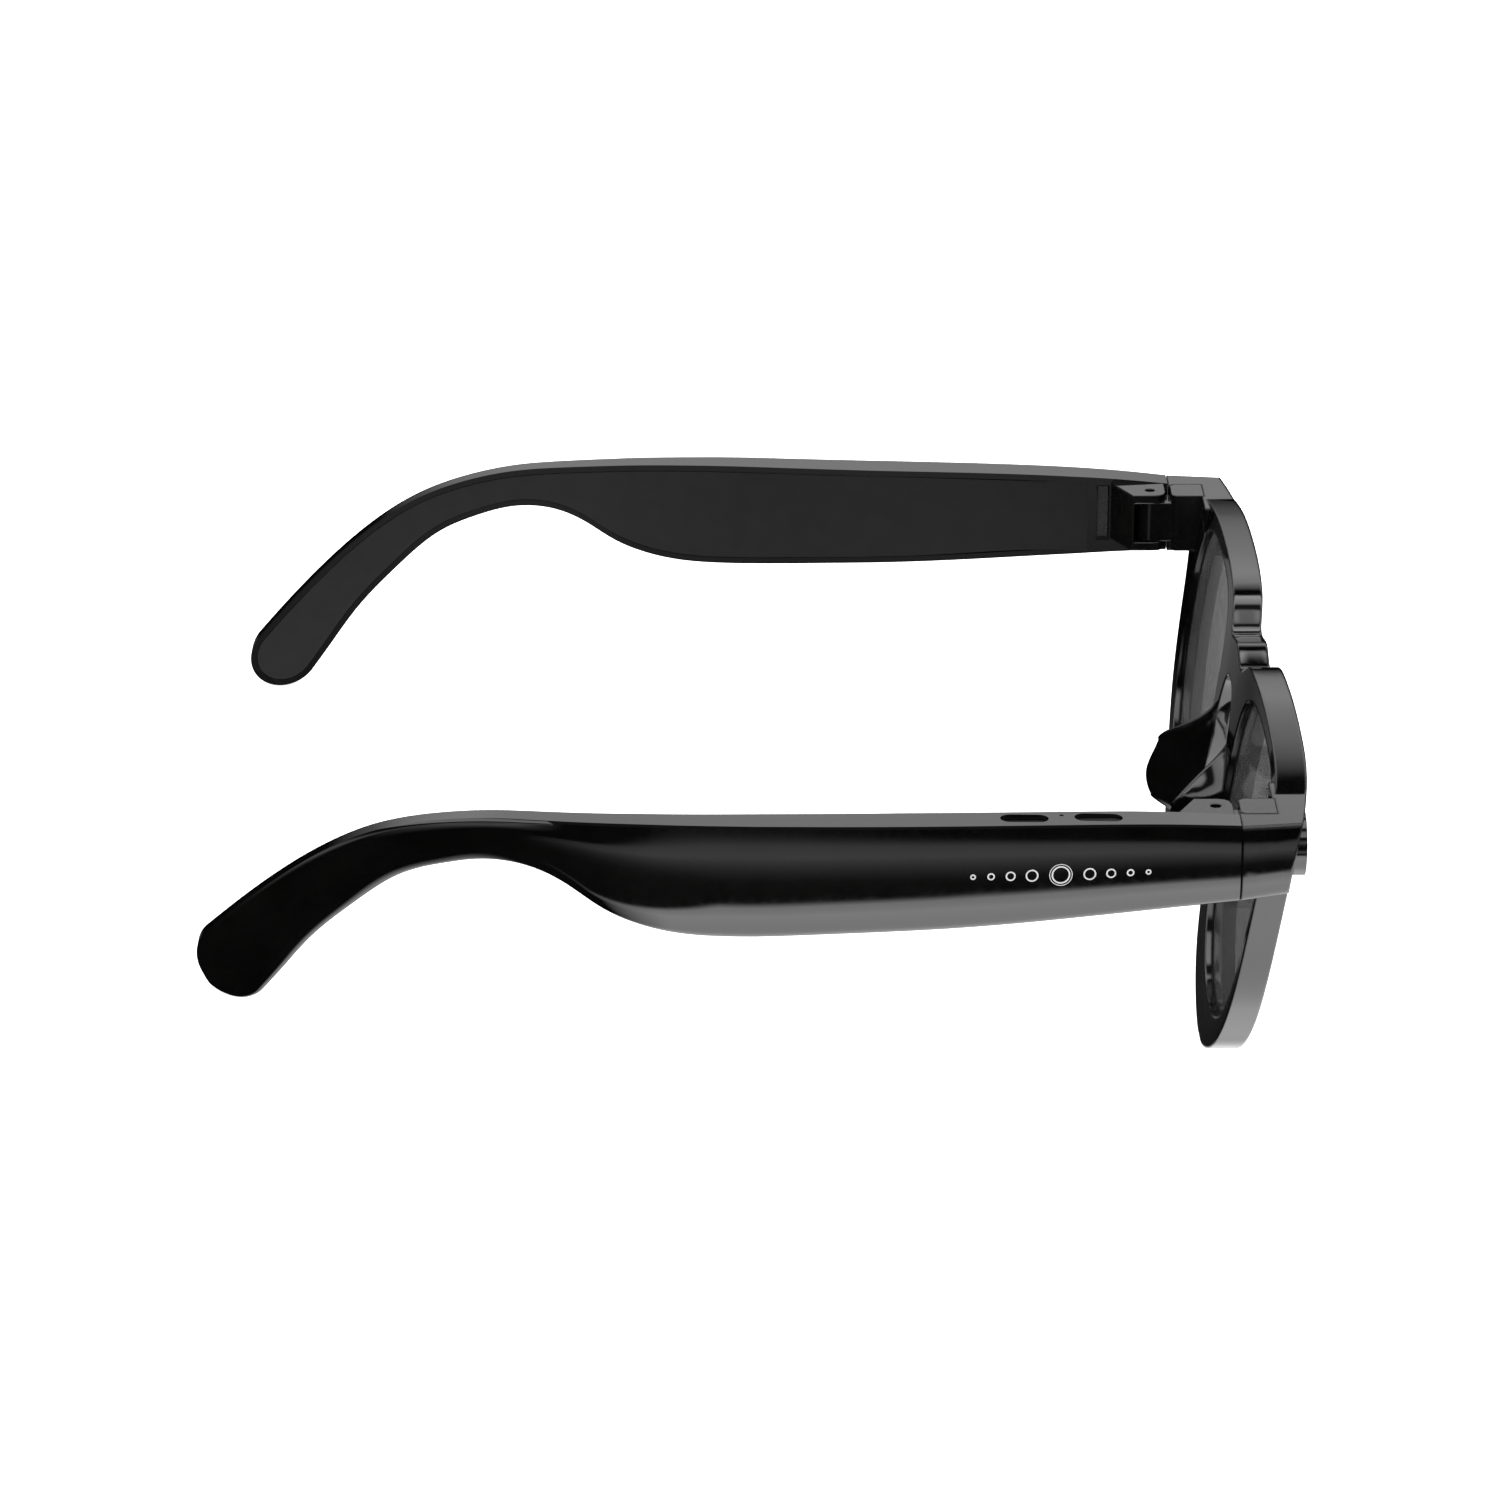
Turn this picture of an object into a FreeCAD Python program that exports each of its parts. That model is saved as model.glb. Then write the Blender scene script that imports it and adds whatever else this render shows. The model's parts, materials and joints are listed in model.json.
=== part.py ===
"""Smart glasses: a full-rim front, two wide temples with electronics inside, real hinges and buttons.

Everything is laid out as worn, in millimetres: X is the width (the wearer's left is +X), the front
faces -Y, the temples run level towards +Y, and Z is up. stand() then pitches the whole assembly so that it
stands on the bottoms of its rims and the ends of its temples, with the origin under its middle.
"""
import FreeCAD
import Part
import math
import os

Vector = FreeCAD.Vector
LEFT = 1
RIGHT = -1
SIDE_NAME = {LEFT: "left", RIGHT: "right"}

SIZES = {
    # front
    "front_thickness": 4.3,
    "front_lean": 0.162,
    "lens_thickness": 1.8,
    "lens_inset": 1.3,
    "lens_seat": 0.9,
    "end_high": 17.05,
    # hinge
    "seam_y": -64.7,
    "seam_gap": 0.12,
    "hinge_x": 65.9,
    "hinge_y": -61.8,
    "hinge_low": 8.2,
    "hinge_high": 17.1,
    "ear_height": 1.3,
    "tongue_play": 0.1,
    "tongue_radius": 2.1,
    "pin_radius": 0.7,
    "pin_play": 0.05,
    "pin_sink": 0.8,
    # camera and light
    "eye_x": 67.0,
    "eye_z": 12.2,
    "eye_front_y": -73.75,
    "bezel_radius": 4.4,
    "bezel_length": 1.7,
    "window_radius": 3.4,
    "window_length": 0.6,
    "window_sink": 0.35,
    "barrel_radius": 2.7,
    "barrel_length": 2.8,
    "lamp_radius": 1.6,
    # temple
    "cover_thickness": 0.7,
    "cover_border": 1.0,
    "outer_wall": 1.2,
    "cavity_low": 6.6,
    "cavity_high": 16.7,
    "cavity_front": -51.5,
    "cavity_rear": 12.0,
    "core_thickness": 0.6,
    "slot_front": -56.0,
    "slot_width": 2.1,
    "slot_low": 7.7,
    "slot_height": 8.9,
    "slot_depth": 0.9,
    "contact_thickness": 0.35,
    # buttons
    "button_front_x": 72.5,
    "button_rear_x": 73.2,
    "button_front_y": -45.7,
    "button_rear_y": -35.8,
    "button_length": 6.2,
    "button_width": 2.5,
    "button_play": 0.12,
    "button_sink": 0.55,
    "button_travel": 0.35,
    "button_lip": 0.45,
    "switch_height": 2.4,
    # inner pieces
    "battery_front": -21.0,
    "battery_length": 21.0,
    "board_length": 28.0,
    "board_thickness": 0.6,
    "board_height": 5.6,
    "inner_play": 0.15,
    "speaker_front": 1.5,
    "speaker_length": 9.5,
    "mesh_thickness": 0.3,
    "mic_radius": 0.3,
    "mic_x": 71.95,
    "mic_y": -40.8,
    # touch marks on the right temple
    "mark_z": 11.4,
    "mark_y": -40.6,
    "mark_line": 0.2,
    "mark_depth": 0.25,
    # standing on a table
    "rest_pitch": 7.96,
    "rest_flat": 0.15,
}

# Half of the front's outline seen from ahead, (x, z): brow, temporal side and foot, nasal side.
BROW = ((0, 16.0), (9.0, 15.3), (12.0, 16.9), (20.0, 18.3), (44.0, 18.1), (57.0, 17.5), (66.5, 16.4))
TEMPORAL = ((66.5, 8.0), (65.2, 4.0), (63.6, -3.0), (60.3, -12.0), (53.0, -21.4), (42.0, -28.8), (33.5, -30.8))
NASAL = ((33.5, -30.8), (24.0, -28.8), (15.5, -22.5), (11.2, -13.5), (9.0, -4.0), (7.4, 5.5), (4.2, 9.6),
         (0, 10.6))
# Opening of the rim, (x, z): the control polygon of its closed curve.
APERTURE = ((37.0, 16.2), (50.0, 16.1), (58.8, 13.6), (61.2, 6.0), (60.3, -4.5), (55.8, -15.2), (47.0, -22.8),
            (35.5, -25.6), (24.0, -23.2), (16.4, -14.8), (13.0, -3.5), (12.9, 7.5), (16.6, 14.2), (25.0, 16.2))
# The front's face in plan at brow height, (x, y): nearly flat, wrapping back at the temples.
FACE_PLAN = ((0, -74.6), (10.0, -74.7), (24.0, -75.2), (40.0, -75.4), (56.0, -75.0), (68.0, -73.8), (76.0, -72.5))

# Temple edges: (top y, top z, bottom y, bottom z). The rear ones lean with the tail.
STATIONS = (
    (-64.7, 17.1, -64.7, 6.4),
    (-57.0, 17.65, -57.0, 5.9),
    (-45.0, 18.1, -45.0, 5.0),
    (-28.0, 18.35, -28.0, 3.8),
    (-10.0, 18.6, -10.0, 3.2),
    (3.0, 18.85, 3.0, 3.05),
    (11.0, 18.95, 11.0, 3.7),
    (16.0, 19.0, 16.0, 5.0),
    (20.5, 19.0, 20.5, 7.1),
    (25.0, 19.0, 25.0, 10.2),
    (30.0, 19.0, 30.0, 12.5),
    (36.0, 18.8, 36.0, 13.1),
    (42.0, 18.0, 40.8, 12.2),
    (50.4, 15.65, 47.4, 9.8),
    (57.8, 11.6, 53.4, 5.2),
    (65.7, 5.35, 60.0, -1.2),
    (70.7, 0.65, 63.8, -6.1),
    (74.5, -3.2, 66.9, -10.1),
)
# Temple thickness along Y.
THICKNESS = ((-65.0, 4.4), (-50.0, 5.1), (-20.0, 5.3), (0, 4.9), (20.0, 3.9), (40.0, 3.1), (56.0, 2.8), (82.0, 3.0))
# Plan stations of the temple's inner face.
PLAN_Y = (-66.0, -50.0, -32.0, -14.0, 3.0, 18.0, 32.0, 44.0, 55.0, 66.0, 80.0)

# Nose pad, level by level: z, x at the bridge side, rear ridge x and y, x where it leaves the rim.
PAD_LEVELS = (
    (7.0, 7.3, 7.9, -69.9, 12.6),
    (2.6, 8.0, 8.5, -67.4, 13.0),
    (-0.2, 8.5, 10.2, -64.1, 13.4),
    (-3.1, 9.0, 13.2, -60.5, 13.9),
    (-7.6, 9.9, 15.2, -57.2, 14.8),
    (-11.6, 10.9, 16.3, -57.8, 15.6),
    (-15.0, 11.9, 16.8, -61.0, 16.4),
    (-17.5, 12.9, 16.4, -65.6, 17.2),
)
PAD_SLICES = 18

# Foot of the endpiece, front to back: y and z.
END_FOOT = ((-80.0, 8.3), (-75.0, 7.6), (-70.0, 6.95), (-64.0, 6.3))

doc = FreeCAD.newDocument("SmartGlasses")
sheet = doc.addObject("Spreadsheet::Sheet", "Sizes")
for row, (alias, number) in enumerate(SIZES.items(), start=1):
    sheet.set("A%d" % row, alias)
    sheet.set("B%d" % row, str(number))
    sheet.setAlias("B%d" % row, alias)
doc.recompute()

nodes = {}


def size(alias):
    """The number in the sheet's cell."""
    return float(sheet.get(alias))


def bind(item, links):
    """Bind an object's properties to formulas over the sheet's cells."""
    for path, formula in links.items():
        item.setExpression(path, formula)
    return item


def keep(name, item):
    """Make an object the sub-part that goes out under this name."""
    item.Label = name
    nodes[name] = item
    return item


# ---- outlines -----------------------------------------------------------------------------------

PLANES = {
    "plan": FreeCAD.Rotation(),
    "front": FreeCAD.Rotation(Vector(1, 0, 0), 90),
    "side": FreeCAD.Rotation(Vector(1, 1, 1), 120),
}


def spline(places):
    """A smooth curve through places."""
    result = Part.BSplineCurve()
    result.interpolate(places)
    return result


def curve(points):
    """A smooth curve through points of a sketch's plane."""
    return spline([Vector(u, v, 0) for u, v in points])


def line(start, end):
    return Part.LineSegment(Vector(start[0], start[1], 0), Vector(end[0], end[1], 0))


def polygon(points):
    """The sides of a closed polygon."""
    return [line(a, b) for a, b in zip(points, points[1:] + points[:1])]


def outline(plane, geometry):
    """A sketch on the plan, front or side plane."""
    sketch = doc.addObject("Sketcher::SketchObject", "Outline")
    sketch.Placement = FreeCAD.Placement(Vector(), PLANES[plane])
    sketch.addGeometry(geometry, False)
    return sketch


def extrude(sketch, direction, forward, backward="0"):
    """Extrude a sketch along a direction; both lengths are formulas."""
    solid = doc.addObject("Part::Extrusion", "Extrusion")
    solid.Base = sketch
    solid.DirMode = "Custom"
    solid.Dir = direction
    solid.Solid = True
    return bind(solid, {"LengthFwd": forward, "LengthRev": backward})


def common(*shapes):
    result = doc.addObject("Part::MultiCommon", "Common")
    result.Shapes = list(shapes)
    return result


def fuse(*shapes):
    result = doc.addObject("Part::MultiFuse", "Fuse")
    result.Shapes = list(shapes)
    return result


def alone(item):
    """A sub-part that is a single primitive or shared form, in a holder with a Placement of its own."""
    holder = doc.addObject("Part::Compound", "Piece")
    holder.Links = [item]
    return holder


def cut(base, *tools):
    result = doc.addObject("Part::Cut", "Cut")
    result.Base = base
    result.Tool = tools[0] if len(tools) == 1 else fuse(*tools)
    return result


def block(side, x, y, z, length, width, height):
    """A box from formulas: its middle in x on one side, its front y and its low z."""
    box = doc.addObject("Part::Box", "Block")
    return bind(box, {
        "Length": length, "Width": width, "Height": height,
        "Placement.Base.x": "%d * (%s) - (%s) / 2" % (side, x, length),
        "Placement.Base.y": y, "Placement.Base.z": z})


def post(side, x, y, z, radius, height):
    """An upright cylinder from formulas."""
    cylinder = doc.addObject("Part::Cylinder", "Post")
    return bind(cylinder, {
        "Radius": radius, "Height": height, "Placement.Base.x": "%d * (%s)" % (side, x),
        "Placement.Base.y": y, "Placement.Base.z": z})


def barrel(side, x, front_y, z, radius, length):
    """A cylinder whose axis runs back from front_y."""
    cylinder = doc.addObject("Part::Cylinder", "Barrel")
    cylinder.Placement = FreeCAD.Placement(Vector(), FreeCAD.Rotation(Vector(1, 0, 0), -90))
    return bind(cylinder, {
        "Radius": radius, "Height": length, "Placement.Base.x": "%d * (%s)" % (side, x),
        "Placement.Base.y": front_y, "Placement.Base.z": z})


# ---- front --------------------------------------------------------------------------------------

def mirrored(points):
    return [(-x, value) for x, value in points]


def face_strip(depth_front, depth_back):
    """The layer of the leaning, wrapping front between two depths behind its face."""
    half = list(FACE_PLAN)
    whole = mirrored(half[:0:-1]) + half
    near = [(x, y + depth_front) for x, y in whole]
    far = [(x, y + depth_back) for x, y in whole]
    sketch = outline("plan", [curve(near), line(near[-1], far[-1]), curve(far), line(far[0], near[0])])
    sketch.Placement = FreeCAD.Placement(Vector(0, 0, 18), FreeCAD.Rotation())
    return extrude(sketch, Vector(0, size("front_lean"), -1), "54", "4")


def front_profile():
    """Both rims and the bridge, seen from ahead, as one thick sheet along Y."""
    geometry = []
    for side in (LEFT, RIGHT):
        brow, temporal, nasal = ([(side * x, z) for x, z in part] for part in (BROW, TEMPORAL, NASAL))
        geometry += [curve(temporal), curve(nasal), line(brow[-1], temporal[0])]
    whole_brow = mirrored(BROW[:0:-1]) + list(BROW)
    geometry.append(curve(whole_brow))
    return extrude(outline("front", geometry), Vector(0, 1, 0), "0", "100")


def aperture(side, grow):
    """The rim's opening, grown by a margin all round, as a thick sheet along Y."""
    middle_x, middle_z = 36.8, -3.5

    def grown(x, z):
        scale = 1 + grow / math.hypot(x - middle_x, z - middle_z)
        return Vector(side * (middle_x + (x - middle_x) * scale), middle_z + (z - middle_z) * scale, 0)

    loop = Part.BSplineCurve()
    loop.buildFromPoles([grown(x, z) for x, z in APERTURE], True, 3)
    return extrude(outline("front", [loop]), Vector(0, 1, 0), "0", "100")


def endpiece(side):
    """The block that turns from the front to the temple, with the seat of the hinge behind it.

    Its outer side carries on the temple's section. Its face lies a hair behind the rims' face, so that
    the two never coincide.
    """
    high = size("end_high")
    seam = size("seam_y") - size("seam_gap")
    outer = doc.addObject("Part::Feature", "EndForm")
    outer.Shape = Part.makeLoft([section(side, (y, high), (y, low)) for y, low in END_FOOT], True)
    inner = block(side, "63.5", "-80", "6.9", "12.4", "10.4", "Sizes.end_high - 6.9")
    band = block(side, "70", "-80", "0", "10", "80 %+.4f" % seam, "20")
    return common(fuse(outer, inner), face_strip(0.03, 12.0), fuse(band, inner))


def nose_pad(side):
    """A fin that leaves the nasal rim and flares back and outwards: a loft, as nothing else fits it."""
    root_y = -71.0
    ridge_width = 1.0
    tracks = []
    for column in range(1, 5):
        track = Part.BSplineCurve()
        track.interpolate(Points=[Vector(level[column], level[0], 0) for level in PAD_LEVELS],
                          Parameters=list(range(len(PAD_LEVELS))))
        tracks.append(track)
    wires = []
    for number in range(PAD_SLICES + 1):
        places = [track.value(number * (len(PAD_LEVELS) - 1.0) / PAD_SLICES) for track in tracks]
        inner_x, ridge_x, ridge_y, outer_x = [place.x for place in places]
        z = places[0].y
        root = root_y + size("front_lean") * (7.0 - z)
        inner = Vector(side * inner_x, root, z)
        ridge_in = Vector(side * ridge_x, ridge_y, z)
        ridge_out = Vector(side * (ridge_x + ridge_width), ridge_y, z)
        ridge = Vector(side * (ridge_x + ridge_width / 2), ridge_y + ridge_width / 2, z)
        outer = Vector(side * (outer_x + 0.6), root, z)
        hollow = Vector(side * 0.07 * (ridge_y - root), 0, 0)
        nose_side = Part.Arc(inner, (inner + ridge_in) * 0.5 - hollow * 0.4, ridge_in)
        rim_side = Part.Arc(ridge_out, (ridge_out + outer) * 0.5 - hollow, outer)
        edges = [nose_side, Part.Arc(ridge_in, ridge, ridge_out), rim_side, Part.LineSegment(outer, inner)]
        wires.append(Part.Wire([edge.toShape() for edge in edges]))
    pad = doc.addObject("Part::Feature", "Pad")
    pad.Shape = Part.makeLoft(wires, True)
    return pad


def eye_pocket(side):
    """What the endpiece loses to the round module in its face."""
    seat = barrel(side, "Sizes.eye_x", "Sizes.eye_front_y", "Sizes.eye_z", "Sizes.bezel_radius",
                  "Sizes.bezel_length")
    well = barrel(side, "Sizes.eye_x", "Sizes.eye_front_y", "Sizes.eye_z", "Sizes.barrel_radius",
                  "Sizes.window_sink + Sizes.window_length + Sizes.barrel_length")
    return fuse(seat, well)


def rest_turn():
    """The pitch, as worn to standing on a table, about the X axis."""
    return FreeCAD.Rotation(Vector(1, 0, 0), -size("rest_pitch"))


def standing_box(shape):
    """A shape's exact box once it is pitched."""
    pitched = shape.copy()
    pitched.Placement = FreeCAD.Placement(Vector(), rest_turn()).multiply(pitched.Placement)
    return pitched.optimalBoundingBox(False)


def rest_cutter(shape):
    """A slab that takes a thin flat off the lowest points of a shape, level once it stands."""
    low = standing_box(shape).ZMin + size("rest_flat")
    slab = doc.addObject("Part::Box", "RestSlab")
    bind(slab, {"Length": "120", "Width": "40", "Height": "5"})
    turn = rest_turn().inverted()
    slab.Placement = FreeCAD.Placement(turn.multVec(Vector(-60, -90, low - 5)), turn)
    return slab


def front_frame():
    """Rims, bridge, nose pads and endpieces: one moulding, grooved for the lenses."""
    sides = (LEFT, RIGHT)
    plate = cut(common(face_strip(0, size("front_thickness")), front_profile()),
                *[aperture(side, 0) for side in sides])
    hair = 0.02
    extras = cut(fuse(*[endpiece(side) for side in sides], *[nose_pad(side) for side in sides]),
                 *[aperture(side, hair) for side in sides])
    blank = fuse(plate, extras)
    frame = blank
    for side in sides:
        for form in (lens_form(side), eye_pocket(side), hinge_block_form(side)):
            frame = cut(frame, form)
    doc.recompute()
    return cut(frame, rest_cutter(frame.Shape))


def lens_form(side):
    inset = size("lens_inset")
    return common(face_strip(inset, inset + size("lens_thickness")), aperture(side, size("lens_seat")))


# ---- hinge --------------------------------------------------------------------------------------

def prism(side, plan, low, high):
    """An upright prism over a plan polygon, between two formulas."""
    sketch = outline("plan", polygon([(side * x, y) for x, y in plan]))
    sketch.setExpression("Placement.Base.z", low)
    return extrude(sketch, Vector(0, 0, 1), "(%s) - (%s)" % (high, low))


def hinge_block_form(side):
    """The hinge half that is fixed in the front, without its tongue."""
    plan = [(63.2, -69.9), (68.7, -69.9), (68.7, -65.6), (68.1, -65.0), (63.8, -65.0), (63.2, -65.6)]
    return prism(side, plan, "Sizes.hinge_low", "Sizes.hinge_high")


def hinge_block(side):
    reach = size("hinge_y")
    half = size("tongue_radius")
    middle = size("hinge_x")
    low = "Sizes.hinge_low + Sizes.ear_height + Sizes.tongue_play"
    high = "Sizes.hinge_high - Sizes.ear_height - Sizes.tongue_play"
    plan = [(middle - half, -66.0), (middle + half, -66.0), (middle + half, reach), (middle - half, reach)]
    tongue = prism(side, plan, low, high)
    nose = post(side, "Sizes.hinge_x", "Sizes.hinge_y", low, "Sizes.tongue_radius", "(%s) - (%s)" % (high, low))
    bore = post(side, "Sizes.hinge_x", "Sizes.hinge_y", "0", "Sizes.pin_radius + Sizes.pin_play", "30")
    return cut(fuse(hinge_block_form(side), tongue, nose), bore)


def hinge_arm_form(side):
    """The hinge half that stands on the temple's inner face, as a solid block with its ramp."""
    plan = [(70.6, -64.1), (65.3, -64.1), (64.1, -63.8), (63.5, -63.1), (63.3, -62.2), (63.3, -59.0),
            (69.4, -56.1), (70.6, -56.1)]
    return prism(side, plan, "Sizes.hinge_low", "Sizes.hinge_high")


def hinge_arm(side):
    gap_low = "Sizes.hinge_low + Sizes.ear_height"
    gap_height = "Sizes.hinge_high - Sizes.hinge_low - 2 * Sizes.ear_height"
    reach = "Sizes.tongue_radius + 0.35"
    socket = post(side, "Sizes.hinge_x", "Sizes.hinge_y", gap_low, reach, gap_height)
    mouth = block(side, "Sizes.hinge_x - 0.6", "Sizes.hinge_y - 4", gap_low, "2 * (%s) + 1.2" % reach, "4",
                  gap_height)
    swing = block(side, "Sizes.hinge_x - 2.5", "Sizes.hinge_y - 4", gap_low, "5", "4 + %s" % reach, gap_height)
    bore = post(side, "Sizes.hinge_x", "Sizes.hinge_y", "0", "Sizes.pin_radius", "30")
    return cut(hinge_arm_form(side), socket, mouth, swing, bore)


def hinge_pin(side):
    pin = post(side, "Sizes.hinge_x", "Sizes.hinge_y", "Sizes.hinge_low + 0.3", "Sizes.pin_radius",
               "Sizes.hinge_high - Sizes.hinge_low - 0.3 - Sizes.pin_sink")
    slot = block(side, "Sizes.hinge_x", "Sizes.hinge_y - 1", "Sizes.hinge_high - Sizes.pin_sink - 0.3", "0.25",
                 "2", "1")
    return cut(pin, slot)


# ---- temple form --------------------------------------------------------------------------------

def outer_x(y):
    """Half-width at the temple's outer top edge: fullest over the ear, drawn in at both ends."""
    fullest = 77.6
    if y < 0:
        return fullest - 0.0315 * abs(y) - 7.6e-6 * abs(y) ** 3
    return fullest - 15.1 * (y / 70.0) ** 2.2


def thickness(y):
    for (y0, t0), (y1, t1) in zip(THICKNESS, THICKNESS[1:]):
        if y <= y1:
            return t0 + (t1 - t0) * (y - y0) / (y1 - y0)
    return THICKNESS[-1][1]


def inner_x(y):
    return outer_x(y) - thickness(y)


def roll_height(y):
    """How far up the outer face the rolled-under foot reaches: tall along the temple, low on the tail."""
    return 5.2 - 3.4 * min(max((y - 5.0) / 17.0, 0), 1)


BULGE = 0.5
# Where the outer curve's points lie along it: the same in every section, so that the loft stays fair.
ALONG = (0, 0.78, 2.04, 3.79, 5.75, 8.72, 11.92, 14.0)


def section(side, top, bottom, slim=1.0):
    """A closed section of the temple: flat inside and on top, bulging outside, rolling under at the foot."""
    bulge = BULGE * slim
    bevel = 0.3
    spare = 0.6
    rise = Vector(0, top[0] - bottom[0], top[1] - bottom[1])
    height = rise.Length
    full = thickness(top[0]) * slim
    roll = min(roll_height(bottom[0]), 0.36 * height)
    depth = 0.34 * roll + 0.2
    drop = 0.09 * roll

    def point(outward, share):
        """A place by its distance outboard of the inner face and its share of the height."""
        y = bottom[0] + (top[0] - bottom[0]) * share
        middle = inner_x(y) + thickness(y) * (1 - slim) / 2
        return Vector(side * (middle + outward * thickness(y) * slim / full), y, bottom[1] + rise.z * share)

    widest = full + bulge
    corner = bevel / height * slim
    outside = []
    for degrees in (90, 68, 45, 22, 0):
        angle = math.radians(degrees)
        outside.append(point(widest - depth + depth * math.cos(angle),
                             (roll - (roll + drop) * math.sin(angle)) / height))
    outside += [point(widest, 0.58), point(full + 0.6 * bulge, 0.82), point(full, 1 - corner)]
    face = Part.BSplineCurve()
    face.interpolate(Points=outside, Parameters=list(ALONG))
    corners = [outside[-1], point(full - bevel * slim, 1), point(-spare, 1), point(-spare, 0), point(0.3, 0),
               outside[0]]
    edges = [face.toShape()] + [Part.makeLine(a, b) for a, b in zip(corners, corners[1:])]
    return Part.Wire(edges)


def tip_sections(side):
    """The rounded end: sections that shrink round the end of the tail."""
    top_y, top_z, bottom_y, bottom_z = STATIONS[-1]
    middle = Vector(0, (top_y + bottom_y) / 2, (top_z + bottom_z) / 2)
    half = Vector(0, (top_y - bottom_y) / 2, (top_z - bottom_z) / 2)
    onward = Vector(0, half.z, -half.y)
    wires = []
    for degrees in (15, 30, 45, 57, 68, 77, 84):
        angle = math.radians(degrees)
        centre = middle + onward * math.sin(angle)
        top = centre + half * math.cos(angle)
        bottom = centre - half * math.cos(angle)
        slim = 0.7 + 0.3 * math.sqrt(math.cos(angle))
        wires.append(section(side, (top.y, top.z), (bottom.y, bottom.z), slim))
    return wires


def temple_form(side):
    """The temple's outer form as one loft, a little too deep on the inside, then trimmed to the inner face."""
    wires = [section(side, (top_y, top_z), (bottom_y, bottom_z))
             for top_y, top_z, bottom_y, bottom_z in STATIONS]
    form = doc.addObject("Part::Feature", "TempleForm")
    form.Shape = Part.makeLoft(wires + tip_sections(side), True)
    return form


def plan_strip(side, near, far, front=-66.0, rear=80.0):
    """What lies between two plan curves, given as functions of y, over the whole height."""
    stations = [front] + [y for y in PLAN_Y if front + 2 < y < rear - 2] + [rear]
    inside = [(side * near(y), y) for y in stations]
    outside = [(side * far(y), y) for y in stations]
    geometry = [curve(inside), line(inside[-1], outside[-1]), curve(outside), line(outside[0], inside[0])]
    sketch = outline("plan", geometry)
    sketch.Placement = FreeCAD.Placement(Vector(0, 0, -20), FreeCAD.Rotation())
    return extrude(sketch, Vector(0, 0, 1), "45")


def beside(shift):
    """A plan curve at a distance outboard of the temple's inner face."""
    return lambda y: inner_x(y) + shift


def inset_profile(inset, front):
    """The temple's side outline from a front line to the tip, drawn in by an inset all round."""
    top, bottom = [], []
    for top_y, top_z, bottom_y, bottom_z in STATIONS:
        if top_y < front + 3:
            continue
        rise = Vector(top_y - bottom_y, top_z - bottom_z, 0)
        step = rise * (inset / rise.Length)
        top.append((top_y - step.x, top_z - step.y))
        bottom.append((bottom_y + step.x, bottom_z + step.y))
    top.insert(0, (front, top[0][1]))
    bottom.insert(0, (front, bottom[0][1]))
    across = Vector(top[-1][0] - bottom[-1][0], top[-1][1] - bottom[-1][1], 0)
    middle = Vector((top[-1][0] + bottom[-1][0]) / 2, (top[-1][1] + bottom[-1][1]) / 2, 0)
    end = middle + Vector(across.y, -across.x, 0) * 0.5
    cap = Part.Arc(Vector(top[-1][0], top[-1][1], 0), end, Vector(bottom[-1][0], bottom[-1][1], 0))
    return [curve(top), cap, curve(bottom), line(bottom[0], top[0])]


def side_sheet(geometry):
    """A side outline as a thick sheet through both temples."""
    return extrude(outline("side", geometry), Vector(1, 0, 0), "100", "100")


# ---- temple pieces ------------------------------------------------------------------------------

def cover_form(side):
    plate = plan_strip(side, beside(-1), beside(size("cover_thickness")))
    return common(plate, side_sheet(inset_profile(size("cover_border"), -52.6)))


def core_form(side):
    near = size("cover_thickness")
    plate = plan_strip(side, beside(near), beside(near + size("core_thickness")))
    return common(plate, side_sheet(inset_profile(2.4, 15.0)))


def cavity(side):
    """The room for the electronics, between the cover and the outer wall."""
    far = lambda y: outer_x(y) - size("outer_wall")
    strip = plan_strip(side, beside(size("cover_thickness")), far, size("cavity_front"), size("cavity_rear"))
    layer = block(side, "74", "Sizes.cavity_front", "Sizes.cavity_low", "30",
                  "Sizes.cavity_rear - Sizes.cavity_front", "Sizes.cavity_high - Sizes.cavity_low")
    return common(strip, layer)


def charge_slot(side):
    """The upright recess in the inner face behind the hinge, where a charger's magnetic tab seats."""
    depth = size("slot_depth")
    strip = plan_strip(side, beside(-2), beside(depth))
    window = block(side, "70", "Sizes.slot_front", "Sizes.slot_low", "20", "Sizes.slot_width",
                   "Sizes.slot_height")
    return common(strip, window)


def charge_contacts(side):
    """The contact plate on the slot's floor."""
    depth = size("slot_depth")
    strip = plan_strip(side, beside(depth), beside(depth + size("contact_thickness")))
    window = block(side, "70", "Sizes.slot_front + 0.3", "Sizes.slot_low + 0.4", "20", "Sizes.slot_width - 0.6",
                   "Sizes.slot_height - 0.8")
    return common(strip, window)


def sound_slots(side):
    """Slots through the foot of the temple, below the speaker."""
    slots = []
    for number in range(4):
        slots.append(block(side, "75.0", "Sizes.speaker_front + 1 + %d * 2.1" % number, "0", "1.4", "1.1", "7"))
    return slots


def inner_piece(side, near, far, front, length, low, height):
    """A piece of the temple's filling that follows the plan curve."""
    strip = plan_strip(side, beside(near), beside(far), size("cavity_front"), size("cavity_rear"))
    window = block(side, "73", front, low, "30", length, height)
    return common(strip, window)


def button_wells():
    wells = []
    for place in ("front", "rear"):
        wells.append(pill(place, "Sizes.button_play", "Sizes.cavity_high - 0.5", "5"))
    wells.append(post(RIGHT, "Sizes.mic_x", "Sizes.mic_y", "Sizes.cavity_high - 0.5", "Sizes.mic_radius", "5"))
    return wells


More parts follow.
